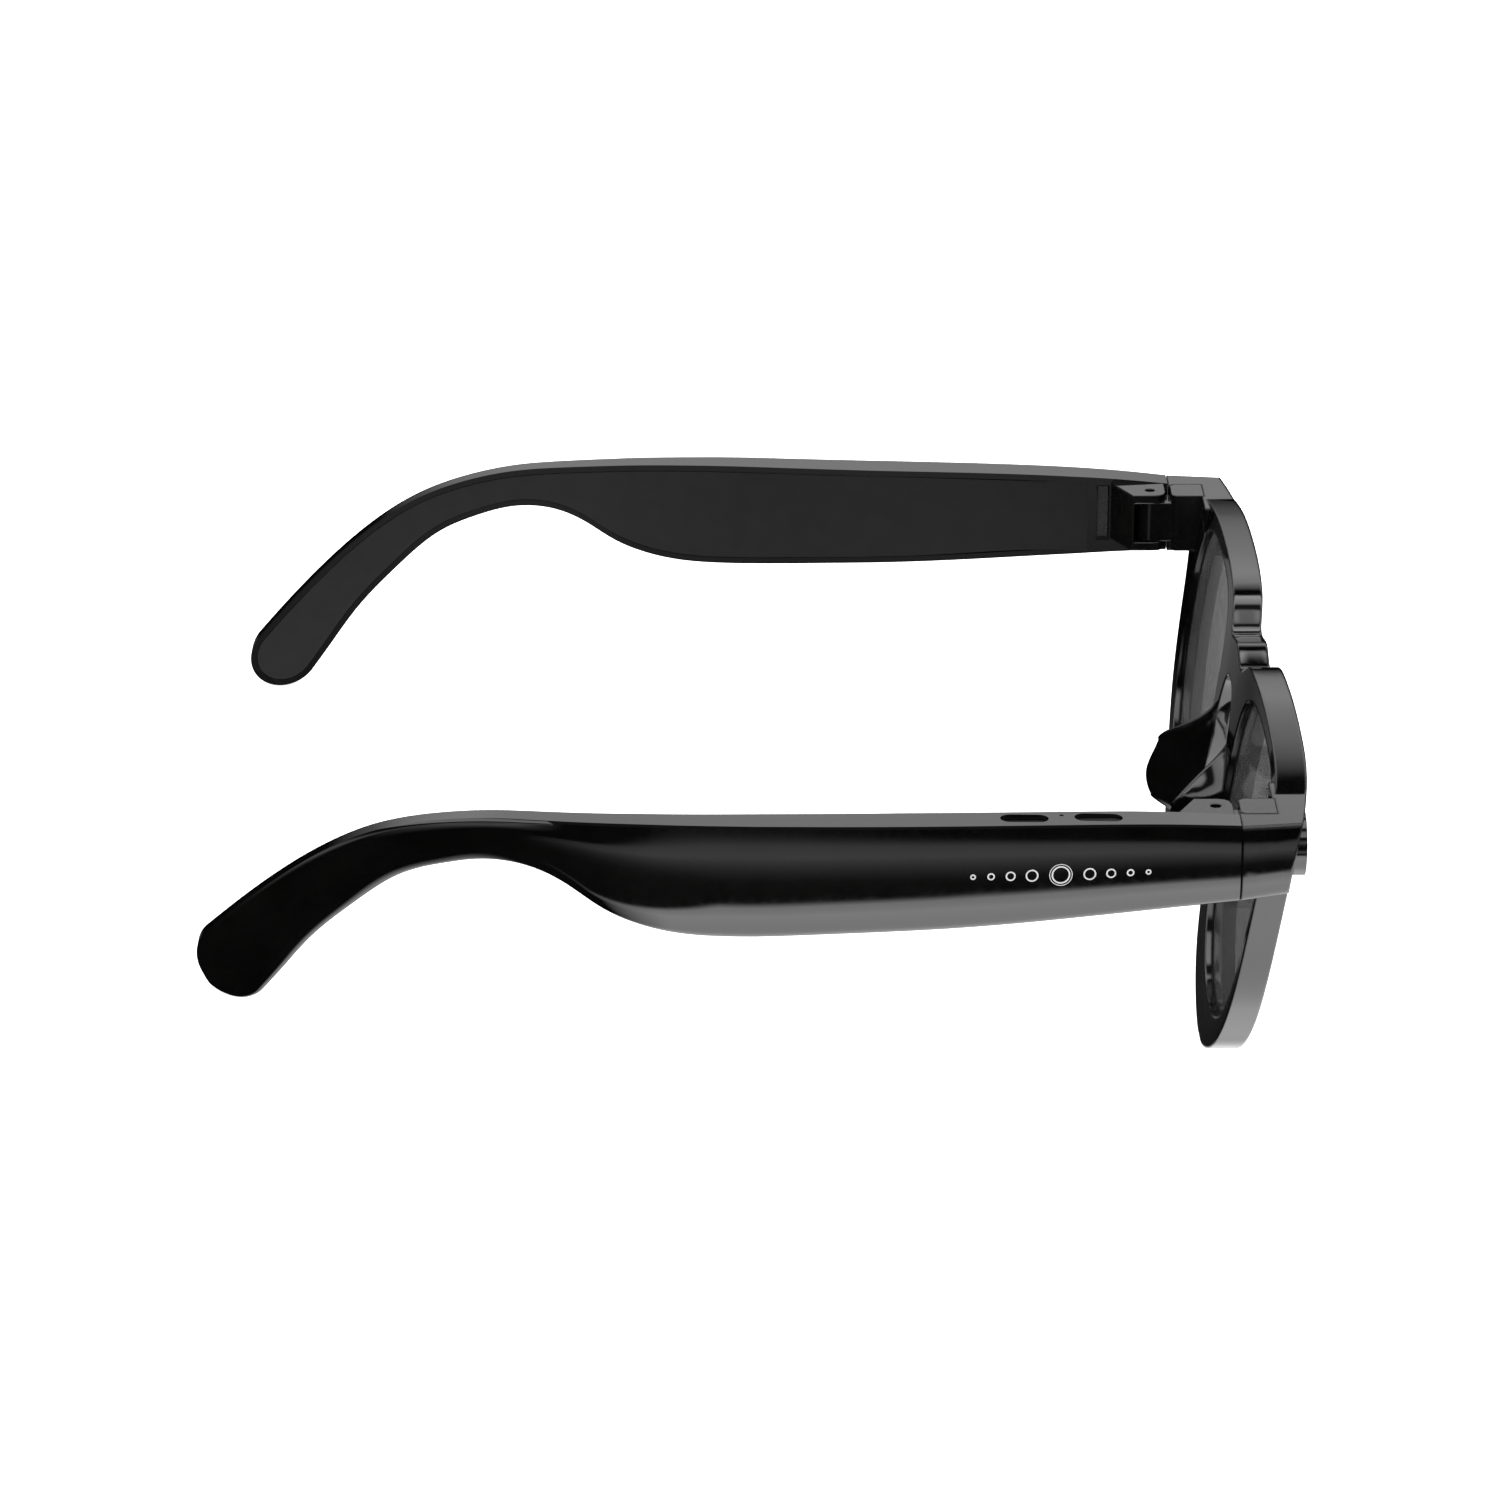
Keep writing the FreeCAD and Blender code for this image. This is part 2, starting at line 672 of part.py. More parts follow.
def pill(place, margin, low, height):
    """An upright slot shape with round ends, grown by a margin, over one of the two buttons."""
    middle = "Sizes.button_%s_y" % place
    half_run = "(Sizes.button_length - Sizes.button_width) / 2"
    radius = "Sizes.button_width / 2 + %s" % margin
    across = "Sizes.button_%s_x" % place
    ends = [post(RIGHT, across, "%s %s %s" % (middle, sign, half_run), low, radius, height) for sign in "+-"]
    run = block(RIGHT, across, "%s - %s" % (middle, half_run), low, "2 * (%s)" % radius, "2 * %s" % half_run,
                height)
    return fuse(run, *ends)


def button(place):
    """A button cap with the lip that keeps it in its well."""
    ceiling = "Sizes.cavity_high - 0.1"
    cap = pill(place, "0", ceiling, "18.1 - Sizes.button_sink - (%s)" % ceiling)
    lip = block(RIGHT, "Sizes.button_%s_x" % place,
                "Sizes.button_%s_y - Sizes.button_length / 2 - 0.6" % place, "%s - Sizes.button_lip" % ceiling,
                "Sizes.button_width - 0.4", "Sizes.button_length + 1.2", "Sizes.button_lip")
    return fuse(cap, lip)


def switch(place):
    """A tactile switch below its button, clear of the pressed cap."""
    top = "Sizes.cavity_high - 0.1 - Sizes.button_lip - Sizes.button_travel - 0.1"
    across = "Sizes.button_%s_x" % place
    case = block(RIGHT, across, "Sizes.button_%s_y - 1.75" % place, "%s - 0.5 - Sizes.switch_height" % top,
                 "1.5", "3.5", "Sizes.switch_height")
    stem = post(RIGHT, across, "Sizes.button_%s_y" % place, "%s - 0.5" % top, "0.6", "0.5")
    return fuse(case, stem)


# Rings either side of the middle one: distance from the middle and outer radius, largest first.
MARK_STEPS = ((3.85, 0.86), (6.7, 0.67), (9.3, 0.51), (11.7, 0.39))


def mark_tube(middle_y, radius, line_width):
    """A short tube along X, from just below the outer face outwards, that cuts one ring's groove."""
    solids = []
    start = outer_x(middle_y) + BULGE - size("mark_depth")
    for reach in (radius, radius - line_width):
        cylinder = doc.addObject("Part::Cylinder", "Mark")
        cylinder.Placement = FreeCAD.Placement(Vector(-start, middle_y, 0), FreeCAD.Rotation(Vector(0, 1, 0), -90))
        cylinder.Radius = reach
        solids.append(bind(cylinder, {"Height": "5", "Placement.Base.z": "Sizes.mark_z"}))
    return cut(*solids)


def mark_tubes():
    """The row of rings that marks the touch strip: a double ring with four rings each side."""
    middle = size("mark_y")
    width = size("mark_line")
    tubes = [mark_tube(middle, 1.55, width / 2), mark_tube(middle, 1.25, width)]
    for distance, radius in MARK_STEPS:
        tubes += [mark_tube(middle + sign * distance, radius, width) for sign in (1, -1)]
    return fuse(*tubes)


def temple(side):
    """One temple: every piece that turns with it."""
    name = SIDE_NAME[side]
    form = temple_form(side)
    cover = cover_form(side)
    core = core_form(side)
    contacts = charge_contacts(side)
    inward = plan_strip(side, beside(-12), beside(0))
    openings = [inward, cover, cavity(side), core, charge_slot(side), contacts, hinge_arm_form(side)]
    openings += sound_slots(side)
    if side == RIGHT:
        tubes = mark_tubes()
        keep("touch_marks", common(form, tubes))
        openings += button_wells()
        form = cut(form, tubes)
    keep("temple_shell_" + name, cut(form, *openings))
    keep("temple_cover_" + name, cut(cover, inward))
    keep("tip_core_" + name, alone(core))
    keep("charge_contacts_" + name, alone(contacts))
    keep("hinge_arm_" + name, hinge_arm(side))
    keep("hinge_pin_" + name, hinge_pin(side))
    play = size("inner_play")
    near = size("cover_thickness") + play
    keep("circuit_board_" + name, inner_piece(
        side, near, near + size("board_thickness"), "Sizes.cavity_front + 0.5", "Sizes.board_length",
        "Sizes.cavity_low + 0.3", "Sizes.board_height"))
    keep("battery_" + name, inner_piece(
        side, near, near + 2.3, "Sizes.battery_front", "Sizes.battery_length", "Sizes.cavity_low + 0.4", "9.2"))
    keep("speaker_" + name, inner_piece(
        side, near, near + 1.7, "Sizes.speaker_front", "Sizes.speaker_length",
        "Sizes.cavity_low + Sizes.mesh_thickness + 0.1", "5.5"))
    keep("speaker_mesh_" + name, inner_piece(
        side, near, near + 1.9, "Sizes.speaker_front", "Sizes.speaker_length", "Sizes.cavity_low",
        "Sizes.mesh_thickness"))


def temple_extras():
    """What only the right temple carries: two buttons, their switches and the microphone."""
    for place in ("front", "rear"):
        keep("button_" + place, button(place))
        keep("switch_" + place, switch(place))
    keep("microphone", alone(block(RIGHT, "Sizes.mic_x + 0.4", "Sizes.mic_y - 1.0",
                                   "Sizes.cavity_high - 1.1", "1.7", "2.0", "1.0")))


def front():
    """Every piece that stays with the front."""
    keep("front_frame", front_frame())
    for side in (LEFT, RIGHT):
        name = SIDE_NAME[side]
        keep("lens_" + name, alone(lens_form(side)))
        keep("hinge_block_" + name, hinge_block(side))
        window_y = "Sizes.eye_front_y + Sizes.window_sink"
        ring = barrel(side, "Sizes.eye_x", "Sizes.eye_front_y", "Sizes.eye_z", "Sizes.bezel_radius",
                      "Sizes.bezel_length")
        hole = barrel(side, "Sizes.eye_x", "Sizes.eye_front_y - 1", "Sizes.eye_z", "Sizes.window_radius", "9")
        label = "camera" if side == RIGHT else "light"
        keep(label + "_bezel", cut(ring, hole))
        keep(label + "_window", alone(barrel(side, "Sizes.eye_x", window_y, "Sizes.eye_z",
                                             "Sizes.window_radius", "Sizes.window_length")))
        inner = "Sizes.barrel_radius" if side == RIGHT else "Sizes.lamp_radius"
        keep(label + "_module", alone(barrel(side, "Sizes.eye_x", window_y + " + Sizes.window_length",
                                             "Sizes.eye_z", inner, "Sizes.barrel_length")))


def stand():
    """Pitch every sub-part onto the table and put the origin under the middle of the whole."""
    boxes = [standing_box(item.Shape) for item in nodes.values()]
    low = min(box.ZMin for box in boxes)
    middle_y = (min(box.YMin for box in boxes) + max(box.YMax for box in boxes)) / 2
    rest = FreeCAD.Placement(Vector(0, -middle_y, -low), rest_turn())
    for item in nodes.values():
        item.Placement = rest
    print("rest placement", rest.Base)


front()
for hand in (LEFT, RIGHT):
    temple(hand)
temple_extras()
doc.recompute()
stand()
doc.recompute()

failed = ["%s (%s)" % (item.Name, item.Label) for item in doc.Objects
          if "Invalid" in item.State or "Error" in item.State]
if failed:
    raise RuntimeError("failed objects: " + ", ".join(failed))
os.makedirs("parts", exist_ok=True)
for name, item in nodes.items():
    shape = item.Shape
    if shape.isNull() or not shape.isValid():
        raise RuntimeError("bad shape: " + name)
    shape.exportStep("parts/%s.step" % name)
    print(name, len(shape.Solids), round(shape.Volume, 1))
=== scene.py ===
"""Looks for the smart glasses: camera, studio, materials and the finely shaped visible pieces.

Lengths are in metres. Measures that belong to the glasses as worn (level temples, X across, the front
facing -Y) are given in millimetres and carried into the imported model's frame by WORN, which is worked
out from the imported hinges.
"""
import json
import math

import bmesh
import bpy
import numpy as np
from mathutils import Matrix, Vector


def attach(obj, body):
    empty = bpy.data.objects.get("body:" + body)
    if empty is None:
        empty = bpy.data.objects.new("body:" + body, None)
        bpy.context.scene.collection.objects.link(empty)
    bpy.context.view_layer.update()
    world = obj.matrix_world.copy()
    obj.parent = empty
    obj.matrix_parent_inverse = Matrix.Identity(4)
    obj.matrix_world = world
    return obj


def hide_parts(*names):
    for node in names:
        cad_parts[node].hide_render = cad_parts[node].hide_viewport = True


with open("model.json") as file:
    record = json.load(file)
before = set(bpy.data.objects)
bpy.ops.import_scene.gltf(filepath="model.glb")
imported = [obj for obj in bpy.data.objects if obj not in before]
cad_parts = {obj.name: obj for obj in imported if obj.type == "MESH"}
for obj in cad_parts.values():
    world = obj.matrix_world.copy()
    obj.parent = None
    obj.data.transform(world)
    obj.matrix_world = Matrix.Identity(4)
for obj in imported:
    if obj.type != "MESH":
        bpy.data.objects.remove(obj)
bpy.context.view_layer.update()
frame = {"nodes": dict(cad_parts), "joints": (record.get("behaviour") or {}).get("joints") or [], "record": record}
MM = 0.001


# ---- the worn frame -----------------------------------------------------------------------------

HINGE_WORN = Vector((0, -61.8, 12.65)) * MM


def worn_matrix():
    """Carries worn coordinates, in metres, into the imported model's frame."""
    hinge = next(joint for joint in frame["joints"] if joint["name"] == "left_fold")
    axis = Vector(hinge["axis"]).normalized()
    pitch = math.atan2(axis.y, axis.z)
    turn = Matrix.Rotation(-pitch, 4, "X")
    at = Vector((0, hinge["pos_m"][1], hinge["pos_m"][2]))
    return Matrix.Translation(at - turn @ HINGE_WORN) @ turn


WORN = worn_matrix()

# ---- camera -------------------------------------------------------------------------------------

CAMERA_HEIGHT_ANGLE = math.radians(21.0)
CAMERA_BACK_ANGLE = math.radians(0.505)
CAMERA_DISTANCE = 0.92765
CAMERA_LENS = 154.19
CAMERA_SENSOR = 36


def add_camera():
    """The viewpoint: from the wearer's right side, a little above."""
    ahead = Vector((math.cos(CAMERA_HEIGHT_ANGLE) * math.cos(CAMERA_BACK_ANGLE),
                    -math.cos(CAMERA_HEIGHT_ANGLE) * math.sin(CAMERA_BACK_ANGLE),
                    -math.sin(CAMERA_HEIGHT_ANGLE)))
    right = Vector((-math.sin(CAMERA_BACK_ANGLE), -math.cos(CAMERA_BACK_ANGLE), 0))
    up = right.cross(ahead)
    place = Matrix((right, up, -ahead)).transposed().to_4x4()
    place.translation = ahead * -CAMERA_DISTANCE
    data = bpy.data.cameras.new("camera")
    data.sensor_width = CAMERA_SENSOR
    data.lens = CAMERA_LENS
    camera = bpy.data.objects.new("camera", data)
    camera.matrix_world = WORN @ place
    bpy.context.scene.collection.objects.link(camera)
    bpy.context.scene.camera = camera


# ---- studio -------------------------------------------------------------------------------------

FLOOR_REACH = 6.0
FLOOR_GAP = 0.0002
FLOOR_GREY = 0.9


def add_floor():
    """A plain pale floor, left out of reflections. It glows, so that it stays white up to the glasses."""
    mesh = bpy.data.meshes.new("floor")
    corners = [(x * FLOOR_REACH, y * FLOOR_REACH, 0) for x, y in ((-1, -1), (1, -1), (1, 1), (-1, 1))]
    mesh.from_pydata(corners, [], [(0, 1, 2, 3)])
    floor = bpy.data.objects.new("floor", mesh)
    floor.location.z = -FLOOR_GAP
    floor.visible_glossy = False
    bpy.context.scene.collection.objects.link(floor)
    material, shader = principled("floor_pale")
    shader.inputs["Base Color"].default_value = (*[FLOOR_GREY] * 3, 1)
    shader.inputs["Roughness"].default_value = 0.9
    shader.inputs["Specular IOR Level"].default_value = 0
    shader.inputs["Emission Color"].default_value = (1, 1, 1, 1)
    shader.inputs["Emission Strength"].default_value = 1.0
    mesh.materials.append(material)


# The studio round the glasses, by the sine of the height above the worn horizon: sine, brightness.
SKY = ((-1.0, 3.2), (-0.62, 4.6), (-0.46, 3.6), (-0.42, 0.0), (-0.36, 0.05), (-0.25, 1.0), (-0.17, 0.8),
       (-0.12, 0.0), (0.1, 0.0), (0.22, 0.3), (0.35, 1.2), (0.45, 0.4), (0.5, 0.0), (0.6, 0.0), (0.66, 3.2),
       (0.84, 2.6), (0.88, 0.1), (0.94, 0.1), (0.965, 3.6), (1.0, 3.6))
SKY_PEAK = 5.0


def add_sky():
    """A studio of level light bands overhead and below, with dark gaps at the horizon and between them."""
    world = bpy.data.worlds.new("sky")
    world.use_nodes = True
    tree = world.node_tree
    back = tree.nodes["Background"]
    direction = tree.nodes.new("ShaderNodeTexCoord").outputs["Generated"]

    def along(axis):
        """How far the direction points along an axis."""
        dot = tree.nodes.new("ShaderNodeVectorMath")
        dot.operation = "DOT_PRODUCT"
        tree.links.new(direction, dot.inputs[0])
        dot.inputs[1].default_value = WORN.to_3x3() @ Vector(axis)
        return dot.outputs["Value"]

    def stretch(source, low, high, to_low, to_high):
        """A value carried from one range to another, and held at its ends."""
        node = tree.nodes.new("ShaderNodeMapRange")
        for name, number in zip(("From Min", "From Max", "To Min", "To Max"), (low, high, to_low, to_high)):
            node.inputs[name].default_value = number
        tree.links.new(source, node.inputs["Value"])
        return node.outputs["Result"]

    def combine(operation, first, second):
        """Arithmetic on two values."""
        node = tree.nodes.new("ShaderNodeMath")
        node.operation = operation
        tree.links.new(first, node.inputs[0])
        tree.links.new(second, node.inputs[1])
        return node.outputs["Value"]

    ramp = tree.nodes.new("ShaderNodeValToRGB")
    elements = ramp.color_ramp.elements
    while len(elements) < len(SKY):
        elements.new(0.5)
    for element, (sine, level) in zip(elements, SKY):
        element.position = (sine + 1) / 2
        element.color = (*[level / SKY_PEAK] * 3, 1)
    height = along((0, 0, 1))
    tree.links.new(stretch(height, -1, 1, 0, 1), ramp.inputs["Fac"])
    # Below the horizon the light fades towards the back, and is weaker on the wearer's left.
    open_sky = stretch(height, 0.0, 0.1, 0, 1)
    ahead = stretch(along((0, 1, 0)), 0.12, 0.34, 1, 0)
    aside = stretch(along((1, 0, 0)), 0.1, 0.6, 1, 0.3)
    shade = combine("MAXIMUM", open_sky, combine("MULTIPLY", ahead, aside))
    tree.links.new(ramp.outputs["Color"], back.inputs["Color"])
    peak = tree.nodes.new("ShaderNodeValue")
    peak.outputs["Value"].default_value = SKY_PEAK
    tree.links.new(combine("MULTIPLY", shade, peak.outputs["Value"]), back.inputs["Strength"])
    bpy.context.scene.world = world


# ---- materials ----------------------------------------------------------------------------------

def principled(name):
    """A new node material and its main shader."""
    material = bpy.data.materials.new(name)
    material.use_nodes = True
    return material, material.node_tree.nodes["Principled BSDF"]


def noise(material, scale, detail=3.0):
    """Noise over object coordinates."""
    tree = material.node_tree
    coordinates = tree.nodes.new("ShaderNodeTexCoord")
    texture = tree.nodes.new("ShaderNodeTexNoise")
    texture.inputs["Scale"].default_value = scale
    texture.inputs["Detail"].default_value = detail
    tree.links.new(coordinates.outputs["Object"], texture.inputs["Vector"])
    return texture.outputs["Fac"]


def spread(material, source, low, high):
    """A factor mapped onto a range."""
    node = material.node_tree.nodes.new("ShaderNodeMapRange")
    node.inputs["From Min"].default_value = 0.3
    node.inputs["From Max"].default_value = 0.7
    node.inputs["To Min"].default_value = low
    node.inputs["To Max"].default_value = high
    material.node_tree.links.new(source, node.inputs["Value"])
    return node.outputs["Result"]


def tint(material, source, dark, light):
    """A factor mapped onto a colour ramp."""
    node = material.node_tree.nodes.new("ShaderNodeValToRGB")
    node.color_ramp.elements[0].position = 0.35
    node.color_ramp.elements[0].color = (*dark, 1)
    node.color_ramp.elements[1].position = 0.65
    node.color_ramp.elements[1].color = (*light, 1)
    material.node_tree.links.new(source, node.inputs["Fac"])
    return node.outputs["Color"]


def ease(material, radius):
    """Shading that rounds the sharp edges, as moulding and polishing leave them."""
    tree = material.node_tree
    edge = tree.nodes.new("ShaderNodeBevel")
    edge.samples = 8
    edge.inputs["Radius"].default_value = radius
    tree.links.new(edge.outputs["Normal"], tree.nodes["Principled BSDF"].inputs["Normal"])
    return material


def bump(material, shader, source, strength, distance):
    """Relief from a height factor, with its depth in metres."""
    node = material.node_tree.nodes.new("ShaderNodeBump")
    node.inputs["Strength"].default_value = strength
    node.inputs["Distance"].default_value = distance
    material.node_tree.links.new(source, node.inputs["Height"])
    material.node_tree.links.new(node.outputs["Normal"], shader.inputs["Normal"])


def surface(name, dark, light, smooth, rough, grain, relief=0.0, metallic=0.0, gloss=0.5):
    """An opaque finish with a mottled colour, uneven roughness and a fine grain."""
    material, shader = principled(name)
    links = material.node_tree.links
    broad = noise(material, grain * 0.12)
    fine = noise(material, grain)
    links.new(tint(material, broad, dark, light), shader.inputs["Base Color"])
    links.new(spread(material, fine, smooth, rough), shader.inputs["Roughness"])
    shader.inputs["Metallic"].default_value = metallic
    shader.inputs["Specular IOR Level"].default_value = gloss
    if relief:
        bump(material, shader, fine, 0.3, relief)
    return material


def glassy(name, colour, alpha, smooth, rough):
    """A tinted see-through finish."""
    material, shader = principled(name)
    links = material.node_tree.links
    broad = noise(material, 60)
    darker = tuple(0.9 * part for part in colour)
    links.new(tint(material, broad, darker, colour), shader.inputs["Base Color"])
    links.new(spread(material, broad, smooth, rough), shader.inputs["Roughness"])
    shader.inputs["Alpha"].default_value = alpha
    shader.inputs["IOR"].default_value = 1.5
    return material


# By slot. Opaque: dark and light colour, least and most roughness, grain per metre, relief, metal, gloss.
FINISHES = {
    "frame_plastic": ease(surface("gloss_front", (0.0012,) * 3, (0.002,) * 3, 0.04, 0.08, 900), 0.0006),
    "shell_plastic": surface("gloss_shell", (0.0012,) * 3, (0.002,) * 3, 0.04, 0.08, 900),
    "cover_plastic": surface("satin_cover", (0.003,) * 3, (0.004,) * 3, 0.36, 0.42, 2500, 3e-6, 0.0, 0.22),
    "lens_tint": glassy("lens_tint", (0.05, 0.05, 0.052), 0.84, 0.02, 0.05),
    "window_glass": glassy("window_glass", (0.01, 0.01, 0.012), 0.8, 0.02, 0.04),
    "bezel_metal": ease(surface("bezel_gloss", (0.002,) * 3, (0.003,) * 3, 0.06, 0.1, 1500), 0.0002),
    "module_black": surface("module_black", (0.01,) * 3, (0.016,) * 3, 0.4, 0.5, 2000),
    "lamp_white": surface("lamp_white", (0.7, 0.7, 0.66), (0.8, 0.8, 0.76), 0.4, 0.5, 1500),
    "hinge_metal": ease(surface("hinge_gloss", (0.002,) * 3, (0.003,) * 3, 0.08, 0.14, 1500), 0.0003),
    "pin_steel": surface("pin_steel", (0.3,) * 3, (0.4,) * 3, 0.25, 0.4, 3000, 0, 1.0),
    "contact_plate": surface("contact_plate", (0.002,) * 3, (0.003,) * 3, 0.2, 0.3, 2500),
    "mark_grey": surface("mark_grey", (0.42,) * 3, (0.5,) * 3, 0.4, 0.5, 2500),
    "button_black": surface("button_black", (0.002,) * 3, (0.003,) * 3, 0.3, 0.4, 2500, 3e-6),
    "switch_body": surface("switch_body", (0.05,) * 3, (0.08,) * 3, 0.4, 0.5, 2500),
    "can_metal": surface("can_metal", (0.5,) * 3, (0.6,) * 3, 0.25, 0.35, 2500, 0, 1.0),
    "board_resin": surface("board_resin", (0.02, 0.12, 0.05), (0.03, 0.18, 0.08), 0.35, 0.5, 1500),
    "battery_foil": surface("battery_foil", (0.4,) * 3, (0.55,) * 3, 0.25, 0.4, 800, 5e-6, 1.0),
    "speaker_black": surface("speaker_black", (0.012,) * 3, (0.02,) * 3, 0.5, 0.6, 2500),
    "mesh_steel": surface("mesh_steel", (0.1,) * 3, (0.16,) * 3, 0.35, 0.5, 6000, 5e-6, 1.0),
}


# ---- temple measures ----------------------------------------------------------------------------

# Temple edges as worn, in millimetres: top y, top z, bottom y, bottom z.
STATIONS = (
    (-64.7, 17.1, -64.7, 6.4), (-57.0, 17.65, -57.0, 5.9), (-45.0, 18.1, -45.0, 5.0),
    (-28.0, 18.35, -28.0, 3.8), (-10.0, 18.6, -10.0, 3.2), (3.0, 18.85, 3.0, 3.05),
    (11.0, 18.95, 11.0, 3.7), (16.0, 19.0, 16.0, 5.0), (20.5, 19.0, 20.5, 7.1), (25.0, 19.0, 25.0, 10.2),
    (30.0, 19.0, 30.0, 12.5), (36.0, 18.8, 36.0, 13.1), (42.0, 18.0, 40.8, 12.2), (50.4, 15.65, 47.4, 9.8),
    (57.8, 11.6, 53.4, 5.2), (65.7, 5.35, 60.0, -1.2), (70.7, 0.65, 63.8, -6.1), (74.5, -3.2, 66.9, -10.1),
)
# Thickness at the top edge, by y.
THICKNESS = ((-65.0, 4.4), (-50.0, 5.1), (-20.0, 5.3), (0, 4.9), (20.0, 3.9), (40.0, 3.1), (56.0, 2.8),
             (82.0, 3.0))
# Where the points of a section's outer side lie along its spline.
ALONG = (0, 0.78, 2.04, 3.79, 5.75, 8.72, 11.92, 14.0)
OUTER_STEPS = 33
BODY_STEPS = 150
BULGE = 0.5
BEVEL = 0.3
FOOT_LIP = 0.3

COVER_FRONT = -52.6
COVER_BORDER = 0.92
COVER_DEPTH = 0.72

# Openings, each by its limits in y and z, except for the cavity's walls and the slot's depth.
SLOT_Y = (-56.0, -53.9)
SLOT_Z = (7.7, 16.6)
SLOT_DEPTH = 0.9
CAVITY_Y = (-51.5, 12.0)
CAVITY_Z = (6.6, 16.7)
CAVITY_INNER = 0.65
OUTER_WALL = 1.2
SOUND_SLOTS = 4
SOUND_FIRST = 2.5
SOUND_STEP = 2.1
SOUND_WIDTH = 1.1
SOUND_X = (74.3, 75.7)
SOUND_Z = (0, 7)

# Plan positions on the right temple: x outboard, y.
BUTTON_PLACES = ((72.5, -45.7), (73.2, -35.8))
BUTTON_LENGTH = 6.2
BUTTON_WIDTH = 2.5
BUTTON_PLAY = 0.12
WELL_Z = (16.2, 22)
MIC_PLACE = (71.95, -40.8)
MIC_WIDTH = 0.6
MIC_Z = (15.9, 22)

MARK_MIDDLE = (-40.6, 11.4)
MARK_LINE = 0.2
# Rings either side of the middle one: distance from the middle and outer radius.
MARK_STEPS = ((3.85, 0.86), (6.7, 0.67), (9.3, 0.51), (11.7, 0.39))
MARK_PROUD = 0.02
MARK_SUNK = 0.1
MARK_SIDES = 40
SHARP_ANGLE = math.radians(28)


# ---- temple skins -------------------------------------------------------------------------------

def outer_x(y):
    """Half-width at the temple's outer top edge, as the hinges, the ear and the tail need it."""
    if y < 0:
        return 77.6 - 0.0315 * abs(y) - 7.6e-6 * abs(y) ** 3
    return 77.6 - 15.1 * (y / 70.0) ** 2.2


def thickness(y):
    """Thickness of a temple at its top edge."""
    for (y0, t0), (y1, t1) in zip(THICKNESS, THICKNESS[1:]):
        if y <= y1:
            return t0 + (t1 - t0) * (y - y0) / (y1 - y0)
    return THICKNESS[-1][1]


def inner_x(y):
    """Half-width at a temple's inner face."""
    return outer_x(y) - thickness(y)


def fair(knots, values, wanted):
    """A natural cubic spline through values at knots, read at the wanted places."""
    knots = np.asarray(knots, float)
    values = np.asarray(values, float)
    count = len(knots)
    gaps = np.diff(knots)
    slopes = np.diff(values, axis=0) / gaps[:, None]
    system = np.eye(count)
    right = np.zeros_like(values)
    for row in range(1, count - 1):
        system[row, row - 1:row + 2] = gaps[row - 1], 2 * (gaps[row - 1] + gaps[row]), gaps[row]
        right[row] = 6 * (slopes[row] - slopes[row - 1])
    bend = np.linalg.solve(system, right)
    result = []
    for place in wanted:
        cell = min(max(int(np.searchsorted(knots, place)) - 1, 0), count - 2)
        step = place - knots[cell]
        gap = gaps[cell]
        first = slopes[cell] - gap * (2 * bend[cell] + bend[cell + 1]) / 6
        third = (bend[cell + 1] - bend[cell]) / (6 * gap)
        result.append(values[cell] + step * (first + step * (bend[cell] / 2 + step * third)))
    return result


def section_points(top, bottom, slim, border, recess):
    """One closed ring of the section: outer side from foot to top, then the inner side with its recess."""
    rise = math.hypot(top[0] - bottom[0], top[1] - bottom[1])
    full = thickness(top[0]) * slim
    bulge = BULGE * slim
    widest = full + bulge
    roll = min(5.2 - 3.4 * min(max((bottom[0] - 5.0) / 17.0, 0), 1), 0.36 * rise)
    depth = 0.34 * roll + 0.2
    places = []
    for degrees in (90, 68, 45, 22, 0):
        angle = math.radians(degrees)
        outward = widest - depth + depth * math.cos(angle)
        places.append((outward, (roll - 1.09 * roll * math.sin(angle)) / rise))
    places += [(widest, 0.58), (full + 0.6 * bulge, 0.82), (full, 1 - BEVEL / rise * slim)]
    wanted = np.linspace(0, ALONG[-1], OUTER_STEPS)
    outside = [tuple(place) for place in fair(ALONG, places, wanted)]

    def put(outward, share, shift=True):
        """A point at a distance outboard of the inner face and a share of the height."""
        y = bottom[0] + (top[0] - bottom[0]) * share
        base = inner_x(y)
        if shift:
            base += thickness(y) * (1 - slim) / 2
            outward *= thickness(y) * slim / full
        return Vector((base + outward, y, bottom[1] + (top[1] - bottom[1]) * share))

    edge = border / rise
    ring = [put(outward, share) for outward, share in outside]
    ring += [put(full - BEVEL * slim, 1)]
    inside = ((0, 1), (0, 1 - edge), (recess, 1 - edge), (recess, edge), (0, edge), (0, 0), (FOOT_LIP, 0))
    ring += [put(outward, share, False) for outward, share in inside]
    return ring


